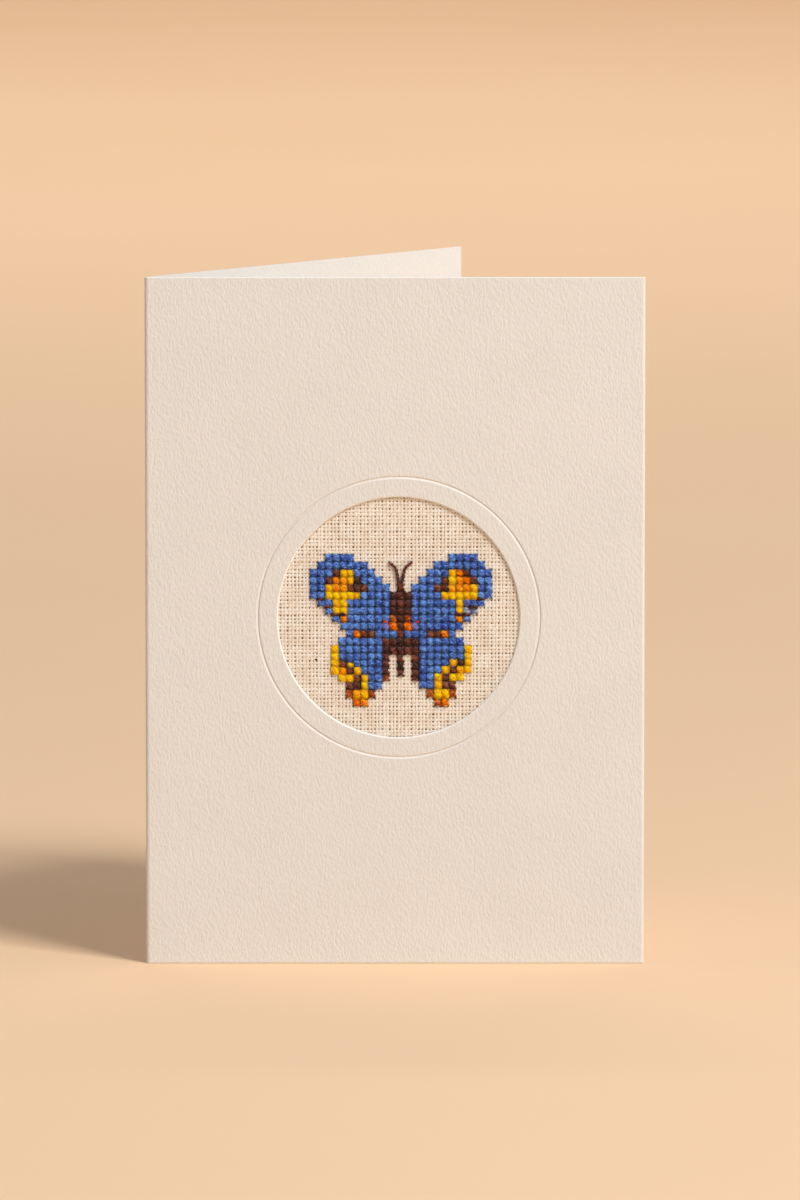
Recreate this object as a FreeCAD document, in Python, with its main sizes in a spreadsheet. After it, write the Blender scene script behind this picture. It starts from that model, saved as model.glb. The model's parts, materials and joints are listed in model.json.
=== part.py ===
import FreeCAD, Part

import math
import os

import Sketcher
from FreeCAD import Placement, Rotation, Vector

# Greeting card with a round window that frames a cross-stitched butterfly on evenweave linen.
# Millimetres. +Z is up, +Y points away from the reader, the front panel is parallel to the XZ plane.
# The card stands open on its cut edges. The row's origin is the bottom centre of its box.
# Pieces are drawn with the front panel's outer face at y = 0, then moved back to that origin.

DIMENSIONS = [
    ("card_width", 120.0, "front panel, from the spine to the folded free edge"),
    ("card_height", 166.0, "all panels"),
    ("stock_thickness", 0.6, "felt-marked card"),
    ("spine_radius", 0.3, "inside of the spine fold"),
    ("opening_angle", 50.5, "degrees between the front and rear panels"),
    ("flap_end_gap", 3.0, "from the spine's outside to the cut end of the inner flap"),
    ("edge_bevel", 0.18, "pressed-over outer edge along the top and bottom of the stock"),
    ("window_diameter", 58.1, "die-cut opening in the front panel"),
    ("window_offset", 0.9, "window's centre, towards the free edge"),
    ("window_height", 84.0, "window's centre above the bottom edge"),
    ("window_bevel", 0.3, "slanted cut round the opening"),
    ("ring_diameter", 67.8, "debossed line round the opening"),
    ("ring_width", 0.8, "debossed line at the surface"),
    ("ring_depth", 0.2, "debossed line"),
    ("tape_thickness", 0.1, "double-sided tape"),
    ("tape_width", 6.0, "double-sided tape"),
    ("tape_inset", 3.0, "flap tape from the edges of the flap"),
    ("linen_width", 84.0, "trimmed evenweave"),
    ("linen_height", 86.0, "trimmed evenweave"),
    ("linen_thickness", 0.4, "over the crowns of the threads"),
    ("linen_clearance", 0.3, "round the linen in the flap's raised field"),
    ("field_slope", 6.0, "run of the raised field's sloping border"),
    ("motif_offset", 0.4, "butterfly's middle from the window's centre, to the right"),
    ("motif_drop", 3.3, "butterfly's middle below the window's centre"),
    ("stitch_pitch_x", 1.75, "two linen threads across"),
    ("stitch_pitch_z", 1.84, "two linen threads down"),
    ("weave_columns", 34.0, "thread pairs across the woven field"),
    ("weave_rows", 32.0, "thread pairs down the woven field"),
    ("weave_rise", 2.0, "thread pairs from the butterfly's middle up to the field's middle"),
    ("weave_groove", 0.5, "gap between thread pairs"),
    ("weave_relief", 0.12, "depth of the gaps between the crowns"),
    ("needle_gap", 0.3, "square opening where a needle can pass"),
    ("gap_step", 5.0, "thread pairs from one modelled opening to the next"),
    ("gap_columns", 6.0, "openings across"),
    ("gap_rows", 6.0, "openings down"),
    ("thread_layer", 0.33, "each of a stitch's two legs, out from the linen"),
    ("full_leg_width", 0.95, "plump leg of a wing stitch"),
    ("thin_leg_width", 0.75, "sparse leg of a lower body stitch"),
    ("leg_bevel", 0.16, "rounding of a leg's outer face"),
    ("hole_margin", 0.1, "from a needle hole's centre to the end of a leg"),
    ("antenna_diameter", 0.45, "two strands laid on the linen"),
    ("antenna_bend", 7.0, "radius of the antenna's curve"),
    ("antenna_height", 5.3, "rise of an antenna above the head"),
    ("antenna_spread", 0.35, "antenna's root from the middle of the head"),
    ("antenna_gap", 0.3, "from the head's stitches to an antenna's root"),
    ("antenna_lift", 0.02, "clear of the linen's crowns"),
]

doc = FreeCAD.newDocument("ButterflyCard")
sheet = doc.addObject("Spreadsheet::Sheet", "Dimensions")
for row, (alias, number, meaning) in enumerate(DIMENSIONS, start=1):
    sheet.set("A%d" % row, alias)
    sheet.set("B%d" % row, str(number))
    sheet.setAlias("B%d" % row, alias)
    sheet.set("C%d" % row, meaning)
doc.recompute()


def size(alias):
    return float(sheet.get(alias))


# Places that several pieces share, as expressions on the sheet
D = "Dimensions."
SPINE_OUTSIDE = "(Dimensions.spine_radius + Dimensions.stock_thickness)"
EDGE_OUTSIDE = "(Dimensions.stock_thickness + Dimensions.tape_thickness / 2)"
ANGLE = "(Dimensions.opening_angle * 1 deg)"
CARD_DEPTH = (
    f"({SPINE_OUTSIDE} * (1 + cos({ANGLE})) + (Dimensions.card_width - {SPINE_OUTSIDE}) * sin({ANGLE}))"
)
FRONT_Y = f"(-{CARD_DEPTH} / 2)"
LINEN_FRONT = "(Dimensions.stock_thickness + Dimensions.tape_thickness)"
LINEN_BACK = f"({LINEN_FRONT} + Dimensions.linen_thickness)"
FLAP_BACK = f"({LINEN_FRONT} + Dimensions.stock_thickness)"
WINDOW_X = "Dimensions.window_offset"
WINDOW_Z = "Dimensions.window_height"
MOTIF_X = "(Dimensions.window_offset + Dimensions.motif_offset)"
MOTIF_Z = "(Dimensions.window_height - Dimensions.motif_drop)"
RECESS_WIDTH = "(Dimensions.linen_width + 2 * Dimensions.linen_clearance)"
RECESS_HEIGHT = "(Dimensions.linen_height + 2 * Dimensions.linen_clearance)"
TWO_SLOPES = "2 * Dimensions.field_slope"


def evaluate(expression):
    found = sheet.evalExpression(expression)
    return float(getattr(found, "Value", found))


# Sketches and their constraints

START, END, CENTRE = range(1, 4)
SKETCH_ORIGIN = (-1, START)
HORIZONTAL_AXIS = -1


def new_body(label):
    body = doc.addObject("PartDesign::Body", label)
    body.setExpression("Placement.Base.y", FRONT_Y)
    return body


def origin_feature(body, role):
    return next(feature for feature in body.Origin.OriginFeatures if feature.Role == role)


def new_sketch(body, role, name, at=("0", "0", "0")):
    """A sketch on one of the body's origin planes, moved by three lengths in its own axes."""
    sketch = body.newObject("Sketcher::SketchObject", name)
    sketch.AttachmentSupport = (origin_feature(body, role), [""])
    sketch.MapMode = "FlatFace"
    for axis, place in zip("xyz", at, strict=True):
        if place != "0":
            sketch.setExpression("AttachmentOffset.Base." + axis, place)
    return sketch


def front_sketch(body, name, x="0", z="0", depth="0"):
    """A sketch seen from the front, depth behind the front panel's outer face."""
    return new_sketch(body, "XZ_Plane", name, (x, z, f"-({depth})"))


def dimension(sketch, name, kind, places, expression):
    value = evaluate(expression)
    if kind == "Angle":
        value = math.radians(value)
    index = sketch.addConstraint(Sketcher.Constraint(kind, *places, value))
    sketch.renameConstraint(index, name)
    sketch.setExpression("Constraints." + name, expression)


def relation(sketch, kind, *places):
    sketch.addConstraint(Sketcher.Constraint(kind, *places))


def line(sketch, start, end):
    return sketch.addGeometry(Part.LineSegment(Vector(*start, 0), Vector(*end, 0)), False)


def arc(sketch, centre, radius, first, last):
    """An arc that runs anticlockwise between two angles in degrees."""
    circle = Part.Circle(Vector(*centre, 0), Vector(0, 0, 1), radius)
    return sketch.addGeometry(Part.ArcOfCircle(circle, math.radians(first), math.radians(last)), False)


def centred_rectangle(sketch, width, height):
    half_width, half_height = evaluate(width) / 2, evaluate(height) / 2
    corners = [
        (-half_width, -half_height),
        (half_width, -half_height),
        (half_width, half_height),
        (-half_width, half_height),
    ]
    bottom, right, top, left = [
        line(sketch, corners[i], corners[(i + 1) % len(corners)]) for i in range(len(corners))
    ]
    for side, following in ((bottom, right), (right, top), (top, left), (left, bottom)):
        relation(sketch, "Coincident", side, END, following, START)
    relation(sketch, "Horizontal", bottom)
    relation(sketch, "Horizontal", top)
    relation(sketch, "Vertical", right)
    relation(sketch, "Vertical", left)
    relation(sketch, "Symmetric", bottom, START, top, START, *SKETCH_ORIGIN)
    dimension(sketch, "width", "DistanceX", (bottom, START, bottom, END), width)
    dimension(sketch, "height", "DistanceY", (right, START, right, END), height)


def centred_circle(sketch, diameter):
    circle = Part.Circle(Vector(0, 0, 0), Vector(0, 0, 1), evaluate(diameter) / 2)
    index = sketch.addGeometry(circle, False)
    relation(sketch, "Coincident", index, CENTRE, *SKETCH_ORIGIN)
    dimension(sketch, "diameter", "Diameter", (index,), diameter)


def six_sided(sketch, centre_x, diameter):
    """A regular hexagon in a construction circle; the circle is returned, to be placed."""
    sides = 6
    radius = evaluate(diameter) / 2
    centre = Vector(centre_x, 0, 0)
    rim = sketch.addGeometry(Part.Circle(centre, Vector(0, 0, 1), radius), True)
    turns = [2 * math.pi * side / sides for side in range(sides)]
    corners = [(centre_x + radius * math.cos(turn), radius * math.sin(turn)) for turn in turns]
    lines = [line(sketch, corners[side], corners[(side + 1) % sides]) for side in range(sides)]
    for side in range(sides):
        relation(sketch, "Coincident", lines[side], END, lines[(side + 1) % sides], START)
        relation(sketch, "PointOnObject", lines[side], START, rim)
    for side in range(1, sides):
        relation(sketch, "Equal", lines[0], lines[side])
    relation(sketch, "Horizontal", lines[0], START, rim, CENTRE)
    dimension(sketch, "diameter", "Diameter", (rim,), diameter)
    return rim


def feature(body, kind, name, profile, **expressions):
    made = body.newObject("PartDesign::" + kind, name)
    made.Profile = profile
    for prop, expression in expressions.items():
        made.setExpression(prop, expression)
    profile.Visibility = False
    return made


# Card blank: front panel, spine, rear panel and the inner flap, folded from one sheet


def fold_profile(sketch):
    """The folded sheet seen from above: two panels, the spine between them and the flap's fold."""
    stock, inside = size("stock_thickness"), size("spine_radius")
    outside = evaluate(SPINE_OUTSIDE)
    edge_outside, edge_inside = evaluate(EDGE_OUTSIDE), size("tape_thickness") / 2
    half_width = size("card_width") / 2
    spine = Vector(outside - half_width, outside)
    edge = Vector(half_width - edge_outside, edge_outside)
    angle = size("opening_angle")
    along = Vector(math.cos(math.radians(angle)), math.sin(math.radians(angle)))
    outward = Vector(-along.y, along.x)
    reach = along * (size("card_width") - outside)
    flap_end = size("flap_end_gap") - half_width
    flap_inside, flap_outside = edge.y + edge_inside, edge.y + edge_outside
    rear_inside, rear_outside = spine + outward * inside, spine + outward * outside

    def flat(point):
        return (point.x, point.y)

    quarter, half = 90, 180
    front_outer = line(sketch, (spine.x, 0), (edge.x, 0))
    edge_outer = arc(sketch, flat(edge), edge_outside, -quarter, quarter)
    flap_outer = line(sketch, (edge.x, flap_outside), (flap_end, flap_outside))
    flap_cut = line(sketch, (flap_end, flap_outside), (flap_end, flap_inside))
    flap_inner = line(sketch, (flap_end, flap_inside), (edge.x, flap_inside))
    edge_inner = arc(sketch, flat(edge), edge_inside, -quarter, quarter)
    front_inner = line(sketch, (edge.x, stock), (spine.x, stock))
    spine_inner = arc(sketch, flat(spine), inside, angle + quarter, half + quarter)
    rear_inner = line(sketch, flat(rear_inside), flat(rear_inside + reach))
    rear_cut = line(sketch, flat(rear_inside + reach), flat(rear_outside + reach))
    rear_outer = line(sketch, flat(rear_outside + reach), flat(rear_outside))
    spine_outer = arc(sketch, flat(spine), outside, angle + quarter, half + quarter)

    relation(sketch, "Tangent", front_outer, END, edge_outer, START)
    relation(sketch, "Tangent", edge_outer, END, flap_outer, START)
    relation(sketch, "Coincident", flap_outer, END, flap_cut, START)
    relation(sketch, "Coincident", flap_cut, END, flap_inner, START)
    relation(sketch, "Tangent", flap_inner, END, edge_inner, END)
    relation(sketch, "Tangent", edge_inner, START, front_inner, START)
    relation(sketch, "Tangent", front_inner, END, spine_inner, END)
    relation(sketch, "Tangent", spine_inner, START, rear_inner, START)
    relation(sketch, "Coincident", rear_inner, END, rear_cut, START)
    relation(sketch, "Coincident", rear_cut, END, rear_outer, START)
    relation(sketch, "Tangent", rear_outer, END, spine_outer, START)
    relation(sketch, "Tangent", spine_outer, END, front_outer, START)
    relation(sketch, "Coincident", edge_outer, CENTRE, edge_inner, CENTRE)
    relation(sketch, "Coincident", spine_inner, CENTRE, spine_outer, CENTRE)
    for straight in (front_outer, flap_outer, flap_inner, front_inner):
        relation(sketch, "Horizontal", straight)
    relation(sketch, "Vertical", flap_cut)
    relation(sketch, "Parallel", rear_outer, rear_inner)
    relation(sketch, "Perpendicular", rear_cut, rear_inner)
    relation(sketch, "PointOnObject", front_outer, START, HORIZONTAL_AXIS)
    dimension(sketch, "spine_inside", "Radius", (spine_inner,), D + "spine_radius")
    dimension(sketch, "spine_outside", "Radius", (spine_outer,), SPINE_OUTSIDE)
    dimension(sketch, "edge_outside", "Radius", (edge_outer,), EDGE_OUTSIDE)
    dimension(sketch, "opening", "Angle", (rear_inner,), D + "opening_angle")
    dimension(
        sketch,
        "rear_reach",
        "Distance",
        (rear_inner, START, rear_inner, END),
        f"Dimensions.card_width - {SPINE_OUTSIDE}",
    )
    dimension(
        sketch,
        "spine_place",
        "DistanceX",
        (spine_inner, CENTRE, *SKETCH_ORIGIN),
        f"Dimensions.card_width / 2 - {SPINE_OUTSIDE}",
    )
    dimension(
        sketch,
        "edge_place",
        "DistanceX",
        (*SKETCH_ORIGIN, edge_outer, CENTRE),
        f"Dimensions.card_width / 2 - {EDGE_OUTSIDE}",
    )
    dimension(
        sketch,
        "flap_place",
        "DistanceX",
        (flap_cut, START, *SKETCH_ORIGIN),
        "Dimensions.card_width / 2 - Dimensions.flap_end_gap",
    )


def ring_profile(sketch):
    """A V that is revolved about the window's axis, its point at the bottom of the debossed line."""
    radius, width, depth = size("ring_diameter") / 2, size("ring_width"), size("ring_depth")
    near = line(sketch, (-depth, radius - width), (depth, radius))
    far = line(sketch, (depth, radius), (-depth, radius + width))
    front = line(sketch, (-depth, radius + width), (-depth, radius - width))
    for side, following in ((near, far), (far, front), (front, near)):
        relation(sketch, "Coincident", side, END, following, START)
    relation(sketch, "Vertical", front)
    relation(sketch, "Equal", near, far)
    dimension(sketch, "radius", "DistanceY", (*SKETCH_ORIGIN, near, END), "Dimensions.ring_diameter / 2")
    dimension(sketch, "depth", "DistanceX", (*SKETCH_ORIGIN, near, END), D + "ring_depth")
    dimension(sketch, "ahead", "DistanceX", (near, START, *SKETCH_ORIGIN), D + "ring_depth")
    dimension(sketch, "spread", "DistanceY", (near, START, far, END), "2 * Dimensions.ring_width")


def raised_loft(body, kind, name, depth):
    """A shallow frustum behind the front panel, its wide end nearer the reader."""
    wide = front_sketch(body, name + "Base", WINDOW_X, WINDOW_Z, depth)
    centred_rectangle(wide, f"{RECESS_WIDTH} + {TWO_SLOPES}", f"{RECESS_HEIGHT} + {TWO_SLOPES}")
    narrow = front_sketch(body, name + "Top", WINDOW_X, WINDOW_Z, f"{depth} + Dimensions.linen_thickness")
    centred_rectangle(narrow, RECESS_WIDTH, RECESS_HEIGHT)
    narrow.Visibility = False
    loft = feature(body, kind, name, wide)
    loft.Sections = [narrow]
    loft.Ruled = True


def unplaced(made):
    """A feature's shape in its body's own axes."""
    shape = made.Shape.copy()
    shape.Placement = Placement()
    return shape


def edges_where(shape, test):
    return ["Edge%d" % number for number, edge in enumerate(shape.Edges, start=1) if test(edge)]


def make_card():
    body = new_body("card_blank")
    profile = new_sketch(body, "XY_Plane", "FoldProfile")
    fold_profile(profile)
    panels = feature(body, "Pad", "Panels", profile, Length=D + "card_height")
    doc.recompute()

    height, nothing = size("card_height"), 1e-6
    sheet_shape = unplaced(panels)

    def begins_the_outside(edge):
        """The front panel's outer edges; the bevel follows them round both folds by tangency."""
        box = edge.BoundBox
        at_an_end = abs(box.ZMax) < nothing or abs(box.ZMin - height) < nothing
        return at_an_end and abs(box.YMin) < nothing and box.YLength < nothing

    softened = body.newObject("PartDesign::Chamfer", "SoftenedEdges")
    softened.Base = (panels, edges_where(sheet_shape, begins_the_outside))
    softened.setExpression("Size", D + "edge_bevel")

    opening = front_sketch(body, "WindowCircle", WINDOW_X, WINDOW_Z)
    centred_circle(opening, D + "window_diameter")
    window = feature(body, "Pocket", "Window", opening, Length=EDGE_OUTSIDE)
    doc.recompute()

    def is_window_rim(edge):
        return abs(edge.BoundBox.YMax) < nothing and isinstance(edge.Curve, Part.Circle)

    rim = body.newObject("PartDesign::Chamfer", "WindowRim")
    rim.Base = (window, edges_where(unplaced(window), is_window_rim))
    rim.setExpression("Size", D + "window_bevel")

    ring = new_sketch(body, "YZ_Plane", "RingProfile", ("0", WINDOW_Z, WINDOW_X))
    ring_profile(ring)
    deboss = feature(body, "Groove", "DebossedRing", ring)
    deboss.ReferenceAxis = (ring, ["H_Axis"])
    deboss.Angle = 360
    doc.recompute()

    raised_loft(body, "AdditiveLoft", "RaisedField", FLAP_BACK)
    raised_loft(body, "SubtractiveLoft", "LinenRecess", LINEN_FRONT)
    doc.recompute()
    return body


# Evenweave linen: vertical thread pairs stand out in front, horizontal ones behind


def weave_grooves(body, name, across, place, groove_width, groove_height, count, pitch):
    """Shallow grooves between thread pairs, one cut and then repeated along an axis of the body."""
    sketch = front_sketch(body, name + "Profile", *place)
    centred_rectangle(sketch, groove_width, groove_height)
    groove = feature(body, "Pocket", name, sketch, Length=D + "weave_relief")
    repeat = body.newObject("PartDesign::LinearPattern", name + "s")
    repeat.Originals = [groove]
    repeat.Direction = (origin_feature(body, across), [""])
    repeat.setExpression("Occurrences", count)
    repeat.setExpression("Length", f"({count} - 1) * {pitch}")
    body.Tip = repeat
    return groove


def make_linen():
    body = new_body("linen_panel")
    outline = front_sketch(body, "LinenOutline", WINDOW_X, WINDOW_Z, LINEN_FRONT)
    centred_rectangle(outline, D + "linen_width", D + "linen_height")
    cloth = feature(body, "Pad", "Cloth", outline, Length=D + "linen_thickness")
    cloth.Reversed = True
    field_width = "Dimensions.weave_columns * Dimensions.stitch_pitch_x"
    field_height = "Dimensions.weave_rows * Dimensions.stitch_pitch_z"
    field_z = f"({MOTIF_Z} + Dimensions.weave_rise * Dimensions.stitch_pitch_z)"
    first_column = f"({MOTIF_X} - (Dimensions.weave_columns - 1) / 2 * Dimensions.stitch_pitch_x)"
    first_row = f"({field_z} - (Dimensions.weave_rows - 1) / 2 * Dimensions.stitch_pitch_z)"
    weave_grooves(
        body,
        "WarpGroove",
        "X_Axis",
        (first_column, field_z, LINEN_FRONT),
        D + "weave_groove",
        field_height,
        D + "weave_columns",
        D + "stitch_pitch_x",
    )
    weft = weave_grooves(
        body,
        "WeftGroove",
        "Z_Axis",
        (MOTIF_X, first_row, LINEN_BACK),
        field_width,
        D + "weave_groove",
        D + "weave_rows",
        D + "stitch_pitch_z",
    )
    weft.Reversed = True

    gaps_across = "(Dimensions.gap_columns - 1) * Dimensions.gap_step"
    gaps_down = "(Dimensions.gap_rows - 1) * Dimensions.gap_step"
    skipped_columns = f"floor((Dimensions.weave_columns - 1 - {gaps_across}) / 2)"
    skipped_rows = f"floor((Dimensions.weave_rows - 1 - {gaps_down}) / 2)"
    corner = front_sketch(
        body,
        "NeedleGapProfile",
        f"{first_column} + {skipped_columns} * Dimensions.stitch_pitch_x",
        f"{first_row} + {skipped_rows} * Dimensions.stitch_pitch_z",
        LINEN_FRONT,
    )
    centred_rectangle(corner, D + "needle_gap", D + "needle_gap")
    gap = feature(body, "Pocket", "NeedleGap", corner, Length=D + "linen_thickness")
    repeat = body.newObject("PartDesign::LinearPattern", "NeedleGaps")
    repeat.Originals = [gap]
    repeat.Direction = (origin_feature(body, "X_Axis"), [""])
    repeat.Direction2 = (origin_feature(body, "Z_Axis"), [""])
    repeat.setExpression("Occurrences", D + "gap_columns")
    repeat.setExpression("Occurrences2", D + "gap_rows")
    repeat.setExpression("Length", f"{gaps_across} * Dimensions.stitch_pitch_x")
    repeat.setExpression("Length2", f"{gaps_down} * Dimensions.stitch_pitch_z")
    body.Tip = repeat
    doc.recompute()
    return body


# Double-sided tape: four strips hold the linen to the front panel, three hold the flap


def tape(label, left, bottom, width, height):
    strip = doc.addObject("Part::Box", label)
    strip.setExpression("Length", width)
    strip.setExpression("Width", D + "tape_thickness")
    strip.setExpression("Height", height)
    strip.setExpression("Placement.Base.x", left)
    strip.setExpression("Placement.Base.y", f"{FRONT_Y} + Dimensions.stock_thickness")
    strip.setExpression("Placement.Base.z", bottom)
    return strip


def make_tapes():
    wide, tall, tape_width = D + "linen_width", D + "linen_height", D + "tape_width"
    left = f"({WINDOW_X} - {wide} / 2)"
    bottom = f"({WINDOW_Z} - {tall} / 2)"
    above_bottom_strip = f"{bottom} + {tape_width}"
    between = f"{tall} - 2 * {tape_width}"
    window_strips = [
        tape("window_tape_bottom", left, bottom, wide, tape_width),
        tape("window_tape_top", left, f"{bottom} + {tall} - {tape_width}", wide, tape_width),
        tape("window_tape_left", left, above_bottom_strip, tape_width, between),
        tape("window_tape_right", f"{left} + {wide} - {tape_width}", above_bottom_strip, tape_width, between),
    ]
    inset, card_tall = D + "tape_inset", D + "card_height"
    flap_left = f"(Dimensions.flap_end_gap - Dimensions.card_width / 2 + {EDGE_OUTSIDE})"
    flap_wide = f"Dimensions.card_width - Dimensions.flap_end_gap - {EDGE_OUTSIDE} - {inset}"
    flap_strips = [
        tape("flap_tape_bottom", flap_left, inset, flap_wide, tape_width),
        tape("flap_tape_top", flap_left, f"{card_tall} - {inset} - {tape_width}", flap_wide, tape_width),
        tape(
            "flap_tape_spine_side",
            flap_left,
            f"{inset} + {tape_width}",
            tape_width,
            f"{card_tall} - 2 * ({inset} + {tape_width})",
        ),
    ]
    return window_strips + flap_strips


# The butterfly as a cross-stitch chart. Column 0 is the middle of the body and columns grow outwards;
# row 0 is the top of the wings and rows grow downwards. One cell is one stitch over two threads.

ROWS = 20
FOREWING = [
    (6.4, -0.5),
    (10.5, -0.5),
    (12.5, 1.7),
    (12.5, 5.2),
    (7.2, 10.5),
    (0.5, 10.5),
    (0.5, 9.5),
    (1.4, 9.5),
    (1.4, 4.0),
    (4.4, 1.0),
    (6.4, 0.0),
]
HINDWING = [
    (2.5, 10.5),
    (8.5, 10.5),
    (9.5, 11.6),
    (9.5, 15.4),
    (7.4, 17.6),
    (7.4, 18.4),
    (6.4, 19.5),
    (4.7, 19.5),
    (2.5, 17.3),
]
# Runs of stitches over the blue ground, each from one cell to another, in the order they cover it
FOREWING_RUNS = [
    ("yellow", (7, 2), (8, 2)),
    ("yellow", (7, 3), (9, 3)),
    ("yellow", (7, 4), (10, 4)),
    ("yellow", (6, 5), (10, 5)),
    ("yellow", (8, 6), (9, 6)),
    ("yellow", (8, 7), (9, 7)),
    ("amber", (7, 4), (9, 4)),
    ("amber", (8, 3), (8, 3)),
    ("orange", (8, 2), (9, 3)),
    ("brown", (9, 2), (10, 3)),
    ("brown", (6, 3), (6, 3)),
    ("brown", (5, 4), (6, 4)),
    ("orange", (8, 8), (8, 8)),
    ("orange", (6, 10), (6, 10)),
    ("brown", (4, 10), (5, 10)),
]
# The left forewing was worked a little differently
LEFT_FOREWING_RUNS = [
    ("yellow", (8, 2), (8, 2)),
    ("brown", (7, 4), (7, 4)),
]
HINDWING_RUNS = [
    ("yellow", (9, 12), (9, 15)),
    ("yellow", (7, 16), (8, 16)),
    ("amber", (8, 15), (8, 15)),
    ("yellow", (7, 14), (5, 16)),
    ("brown", (8, 14), (6, 16)),
    ("brown", (6, 17), (7, 17)),
    ("yellow", (5, 17), (5, 18)),
    ("yellow", (6, 18), (6, 18)),
    ("rust", (4, 18), (4, 18)),
    ("rust", (7, 18), (7, 18)),
    ("orange", (5, 19), (6, 19)),
]
HEAD = [(0, 4)]
THORAX = [(column, row) for row in range(5, 8) for column in (-1, 0, 1)]
WAIST = [(0, row) for row in range(8, 11)]
SHOULDERS = [(-1, 8), (1, 8)]
SIDE_SPOTS = [(-1, 9), (1, 9)]
ABDOMEN = [(column, row) for row in (11, 12) for column in range(-2, 3)]
TAILS = [(column, row) for column in (-2, 0, 2) for row in range(13, 16)] + [(2, 16)]
TAIL_TIP = [(-2, 16)]


def inside(outline, column, row):
    """Whether a cell's middle lies in the outline, by counting the sides to its right."""
    found = False
    for (x1, y1), (x2, y2) in zip(outline, outline[1:] + outline[:1], strict=True):
        if (y1 > row) != (y2 > row) and column < x1 + (row - y1) * (x2 - x1) / (y2 - y1):
            found = not found
    return found


def run(first, last):
    """The cells from first to last, straight or at 45 degrees."""
    steps = max(abs(last[0] - first[0]), abs(last[1] - first[1]))
    across = (last[0] > first[0]) - (last[0] < first[0])
    down = (last[1] > first[1]) - (last[1] < first[1])
    return [(first[0] + across * step, first[1] + down * step) for step in range(steps + 1)]


def wing_chart(outline, runs):
    """The thread colour of each stitch of a wing, drawn as on the right."""
    widest = int(max(x for x, _ in outline)) + 1
    cells = {
        (column, row): "blue"
        for row in range(ROWS)
        for column in range(widest)
        if inside(outline, column, row)
    }
    for colour, first, last in runs:
        cells.update((cell, colour) for cell in run(first, last))
    return cells


def new_leg(name, width, layer, axis):
    """One leg of a stitch: a bar over two threads, its outer face smaller than its base."""
    leg = doc.addObject("Part::Wedge", name)
    half_length = (
        "(sqrt(Dimensions.stitch_pitch_x ^ 2 + Dimensions.stitch_pitch_z ^ 2) / 2 - Dimensions.hole_margin)"
    )
    half_width = f"({width} / 2)"
    bevel = D + "leg_bevel"
    leg.setExpression("Xmin", f"{bevel} - {half_length}")
    leg.setExpression("Xmax", f"{half_length} - {bevel}")
    leg.setExpression("X2min", f"-{half_length}")
    leg.setExpression("X2max", half_length)
    leg.setExpression("Zmin", f"{bevel} - {half_width}")
    leg.setExpression("Zmax", f"{half_width} - {bevel}")
    leg.setExpression("Z2min", f"-{half_width}")
    leg.setExpression("Z2max", half_width)
    leg.Ymin = 0
    leg.setExpression("Ymax", D + "thread_layer")
    slope = "atan(Dimensions.stitch_pitch_z / Dimensions.stitch_pitch_x)"
    leg.Placement = Placement(Vector(), Rotation(axis, evaluate(slope)))
    leg.setExpression("Placement.Rotation.Angle", slope)
    leg.setExpression("Placement.Base.y", f"{LINEN_FRONT} - {layer} * Dimensions.thread_layer")
    leg.Visibility = False
    return leg


def new_stitch(name, width):
    """A cross: the lower leg rises to the right, the upper leg falls to the right."""
    return [
        new_leg(name + "LowerLeg", width, 1, Vector(0, -1, 0)),
        new_leg(name + "UpperLeg", width, 2, Vector(0, 1, 0)),
    ]


def work_stitches(label, cells, stitch):
    """All the stitches of one colour in one part of the butterfly."""
    copies = []
    middle_x, middle_z = evaluate(MOTIF_X), evaluate(MOTIF_Z)
    for column, row in sorted(cells, key=lambda cell: (cell[1], cell[0])):
        x = middle_x + column * size("stitch_pitch_x")
        z = middle_z + ((ROWS - 1) / 2 - row) * size("stitch_pitch_z")
        for leg in stitch:
            copies.append(leg.Shape.translated(Vector(x, 0, z)))
    worked = doc.addObject("Part::Feature", label)
    worked.Shape = Part.makeCompound(copies)
    worked.Placement = Placement(Vector(0, evaluate(FRONT_Y), 0), Rotation())
    return worked


def make_wing(side, sign, wing, chart, stitch):
    """One node for each thread colour of a wing, mirrored to the left where sign is -1."""
    colours = sorted(set(chart.values()))
    return [
        work_stitches(
            f"{side}_{wing}_{colour}_stitches",
            [(sign * column, row) for (column, row), thread in chart.items() if thread == colour],
            stitch,
        )
        for colour in colours
    ]


def make_butterfly():
    full = new_stitch("Full", D + "full_leg_width")
    thin = new_stitch("Thin", D + "thin_leg_width")
    doc.recompute()
    worked = []
    for side, sign, own_runs in (("left", -1, LEFT_FOREWING_RUNS), ("right", 1, [])):
        forewing = wing_chart(FOREWING, FOREWING_RUNS + own_runs)
        worked += make_wing(side, sign, "forewing", forewing, full)
        worked += make_wing(side, sign, "hindwing", wing_chart(HINDWING, HINDWING_RUNS), full)
    worked.append(work_stitches("head_and_thorax_stitches", HEAD + THORAX + WAIST, full))
    worked.append(work_stitches("shoulder_stitches", SHOULDERS, full))
    worked.append(work_stitches("side_spot_stitches", SIDE_SPOTS, full))
    worked.append(work_stitches("abdomen_stitches", ABDOMEN + TAILS, thin))
    worked.append(work_stitches("tail_tip_stitches", TAIL_TIP, thin))
    return worked


# Antennae: a thread laid on the linen, straight up from the head and then curving outwards


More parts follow.
